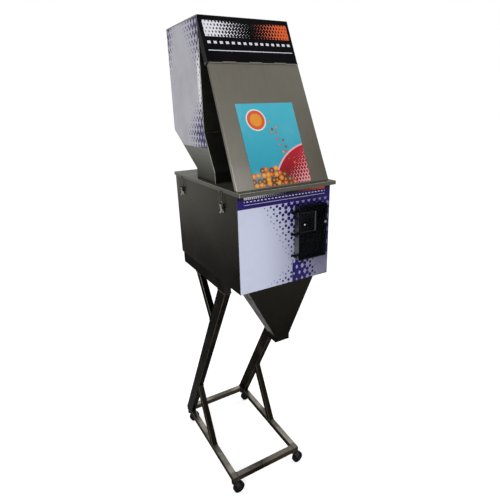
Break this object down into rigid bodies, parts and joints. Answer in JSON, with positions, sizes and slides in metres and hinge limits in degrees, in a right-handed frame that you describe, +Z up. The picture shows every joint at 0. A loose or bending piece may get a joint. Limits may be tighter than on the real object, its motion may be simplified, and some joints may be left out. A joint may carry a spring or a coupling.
{
  "type": "granule filling machine",
  "caption": "Portable granule filling machine: hopper over a sheet-steel cabinet with vibrating feeder, weigh bucket and flat chute, on a leaning wheeled stand.",
  "frame": {"origin": "on the floor, below the middle of the machine's bounding box", "axes": "+X to the operator's right, -Y to the front where the chute and controls are, +Z up"},
  "size_m": [0.3759, 0.6948, 1.8],
  "materials": {
    "stainless": "satin, lightly brushed",
    "stand_steel": "mill finish tube with polished welds",
    "printed_steel": "sheet steel under a printed gloss film",
    "header_black": "gloss black film",
    "picture_sheet": "printed gloss sheet",
    "caster_metal": "black coated pressed steel",
    "caster_tread": "moulded black tread",
    "black_plastic": "moulded",
    "smoked_door": "smoked, see-through in part",
    "bright_metal": "polished",
    "key_plastic": "moulded",
    "cell_alloy": "anodised",
    "cast_base": "painted casting",
    "spring_steel": "blued"
  },
  "bodies": {
    "machine": {"foot_rail_left": "stand_steel", "leg_left": "stand_steel", "top_rail_left": "stand_steel", "foot_rail_right": "stand_steel", "leg_right": "stand_steel", "top_rail_right": "stand_steel", "foot_bar_front": "stand_steel", "foot_bar_rear": "stand_steel", "lower_braces": "stand_steel", "upper_braces": "stand_steel", "top_cross_bars": "stand_steel", "rail_plugs": "black_plastic", "caster_stems": "caster_metal", "cabinet_side_left": "stainless", "cabinet_side_right": "stainless", "cabinet_front": "printed_steel", "cabinet_back": "stainless", "cabinet_floor": "stainless", "cabinet_lid": "stainless", "discharge_chute": "stainless", "power_inlet": "black_plastic", "hopper_box": "stainless", "hopper_funnel": "stainless", "header_panel": "header_black", "feeder_base": "cast_base", "weigh_bucket": "stainless", "load_cell": "cell_alloy", "control_box": "stainless", "door_hinges": "caster_metal", "control_plate": "black_plastic", "latch_bases": "bright_metal"},
    "fork_front_left": {"caster_fork_front_left": "caster_metal"},
    "wheel_front_left": {"caster_wheel_front_left": "caster_tread"},
    "fork_front_right": {"caster_fork_front_right": "caster_metal"},
    "wheel_front_right": {"caster_wheel_front_right": "caster_tread"},
    "fork_rear_left": {"caster_fork_rear_left": "caster_metal"},
    "wheel_rear_left": {"caster_wheel_rear_left": "caster_tread"},
    "fork_rear_right": {"caster_fork_rear_right": "caster_metal"},
    "wheel_rear_right": {"caster_wheel_rear_right": "caster_tread"},
    "front_cover": {"front_cover": "stainless", "picture_panel": "picture_sheet"},
    "hopper_lid": {"hopper_lid": "stainless"},
    "control_door": {"control_door": "smoked_door", "door_knob": "bright_metal"},
    "key_set": {"key_set": "key_plastic"},
    "key_down": {"key_down": "key_plastic"},
    "key_up": {"key_up": "key_plastic"},
    "power_switch": {"power_switch": "black_plastic"},
    "flow_gate": {"flow_gate": "stainless"},
    "bucket_flap": {"bucket_flap": "stainless"},
    "feeder_tray": {"feeder_tray": "stainless", "feeder_springs": "spring_steel"},
    "latch_lever_front_left": {"latch_lever_front_left": "bright_metal"},
    "latch_loop_front_left": {"latch_loop_front_left": "bright_metal"},
    "latch_lever_front_right": {"latch_lever_front_right": "bright_metal"},
    "latch_loop_front_right": {"latch_loop_front_right": "bright_metal"},
    "latch_lever_rear_left": {"latch_lever_rear_left": "bright_metal"},
    "latch_loop_rear_left": {"latch_loop_rear_left": "bright_metal"},
    "latch_lever_rear_right": {"latch_lever_rear_right": "bright_metal"},
    "latch_loop_rear_right": {"latch_loop_rear_right": "bright_metal"}
  },
  "joints": [
    {"name": "swivel_front_left", "type": "hinge", "parent": "machine", "child": "fork_front_left", "pos_m": [-0.1515, -0.15957, 0.063], "axis": [0, 0, 1], "continuous": true},
    {"name": "spin_front_left", "type": "hinge", "parent": "fork_front_left", "child": "wheel_front_left", "pos_m": [-0.13357, -0.15801, 0.025], "axis": [-0.0872, 0.9962, 0], "continuous": true},
    {"name": "swivel_front_right", "type": "hinge", "parent": "machine", "child": "fork_front_right", "pos_m": [0.1515, -0.15957, 0.063], "axis": [0, 0, 1], "continuous": true},
    {"name": "spin_front_right", "type": "hinge", "parent": "fork_front_right", "child": "wheel_front_right", "pos_m": [0.16943, -0.15801, 0.025], "axis": [-0.0872, 0.9962, 0], "continuous": true},
    {"name": "swivel_rear_left", "type": "hinge", "parent": "machine", "child": "fork_rear_left", "pos_m": [-0.1515, 0.33043, 0.063], "axis": [0, 0, 1], "continuous": true},
    {"name": "spin_rear_left", "type": "hinge", "parent": "fork_rear_left", "child": "wheel_rear_left", "pos_m": [-0.13357, 0.33199, 0.025], "axis": [-0.0872, 0.9962, 0], "continuous": true},
    {"name": "swivel_rear_right", "type": "hinge", "parent": "machine", "child": "fork_rear_right", "pos_m": [0.1515, 0.33043, 0.063], "axis": [0, 0, 1], "continuous": true},
    {"name": "spin_rear_right", "type": "hinge", "parent": "fork_rear_right", "child": "wheel_rear_right", "pos_m": [0.16943, 0.33199, 0.025], "axis": [-0.0872, 0.9962, 0], "continuous": true},
    {"name": "cover_hinge", "type": "hinge", "parent": "machine", "child": "front_cover", "pos_m": [0, -0.14505, 1.66701], "axis": [-1, 0, 0], "range_deg": [0, 75]},
    {"name": "lid_hinge", "type": "hinge", "parent": "machine", "child": "hopper_lid", "pos_m": [0, 0.19003, 1.797], "axis": [-1, 0, 0], "range_deg": [0, 105]},
    {"name": "door_hinge", "type": "hinge", "parent": "machine", "child": "control_door", "pos_m": [0.028, -0.33477, 1.1605], "axis": [0, 0, -1], "range_deg": [0, 110]},
    {"name": "press_set", "type": "slide", "parent": "machine", "child": "key_set", "axis": [0, 1, 0], "range_m": [0, 0.0015], "stiffness_N_per_m": 300, "springref_m": -0.0005},
    {"name": "press_down", "type": "slide", "parent": "machine", "child": "key_down", "axis": [0, 1, 0], "range_m": [0, 0.0015], "stiffness_N_per_m": 300, "springref_m": -0.0005},
    {"name": "press_up", "type": "slide", "parent": "machine", "child": "key_up", "axis": [0, 1, 0], "range_m": [0, 0.0015], "stiffness_N_per_m": 300, "springref_m": -0.0005},
    {"name": "rocker_tilt", "type": "hinge", "parent": "machine", "child": "power_switch", "pos_m": [0.115, -0.32047, 1.099], "axis": [1, 0, 0], "range_deg": [0, 16]},
    {"name": "gate_slide", "type": "slide", "parent": "machine", "child": "flow_gate", "axis": [0, 0, 1], "range_m": [0, 0.02]},
    {"name": "flap_swing", "type": "hinge", "parent": "machine", "child": "bucket_flap", "pos_m": [0, -0.20977, 1.1095], "axis": [1, 0, 0], "range_deg": [0, 80]},
    {"name": "tray_vibration", "type": "slide", "parent": "machine", "child": "feeder_tray", "axis": [0, -0.9397, 0.342], "range_m": [-0.0005, 0.0005], "stiffness_N_per_m": 90000},
    {"name": "latch_front_left", "type": "hinge", "parent": "machine", "child": "latch_lever_front_left", "pos_m": [-0.1755, -0.21807, 1.262], "axis": [0, 1, 0], "range_deg": [0, 150]},
    {"name": "loop_front_left", "type": "hinge", "parent": "latch_lever_front_left", "child": "latch_loop_front_left", "pos_m": [-0.1755, -0.21807, 1.253], "axis": [0, 1, 0], "range_deg": [-151, 1]},
    {"name": "latch_front_right", "type": "hinge", "parent": "machine", "child": "latch_lever_front_right", "pos_m": [0.1755, -0.21807, 1.262], "axis": [0, -1, 0], "range_deg": [0, 150]},
    {"name": "loop_front_right", "type": "hinge", "parent": "latch_lever_front_right", "child": "latch_loop_front_right", "pos_m": [0.1755, -0.21807, 1.253], "axis": [0, -1, 0], "range_deg": [-151, 1]},
    {"name": "latch_rear_left", "type": "hinge", "parent": "machine", "child": "latch_lever_rear_left", "pos_m": [-0.1755, 0.11493, 1.262], "axis": [0, 1, 0], "range_deg": [0, 150]},
    {"name": "loop_rear_left", "type": "hinge", "parent": "latch_lever_rear_left", "child": "latch_loop_rear_left", "pos_m": [-0.1755, 0.11493, 1.253], "axis": [0, 1, 0], "range_deg": [-151, 1]},
    {"name": "latch_rear_right", "type": "hinge", "parent": "machine", "child": "latch_lever_rear_right", "pos_m": [0.1755, 0.11493, 1.262], "axis": [0, -1, 0], "range_deg": [0, 150]},
    {"name": "loop_rear_right", "type": "hinge", "parent": "latch_lever_rear_right", "child": "latch_loop_rear_right", "pos_m": [0.1755, 0.11493, 1.253], "axis": [0, -1, 0], "range_deg": [-151, 1]}
  ],
  "couplings": [
    {"joint": "loop_front_left", "follows": "latch_front_left", "ratio": -1},
    {"joint": "loop_front_right", "follows": "latch_front_right", "ratio": -1},
    {"joint": "loop_rear_left", "follows": "latch_rear_left", "ratio": -1},
    {"joint": "loop_rear_right", "follows": "latch_rear_right", "ratio": -1}
  ]
}
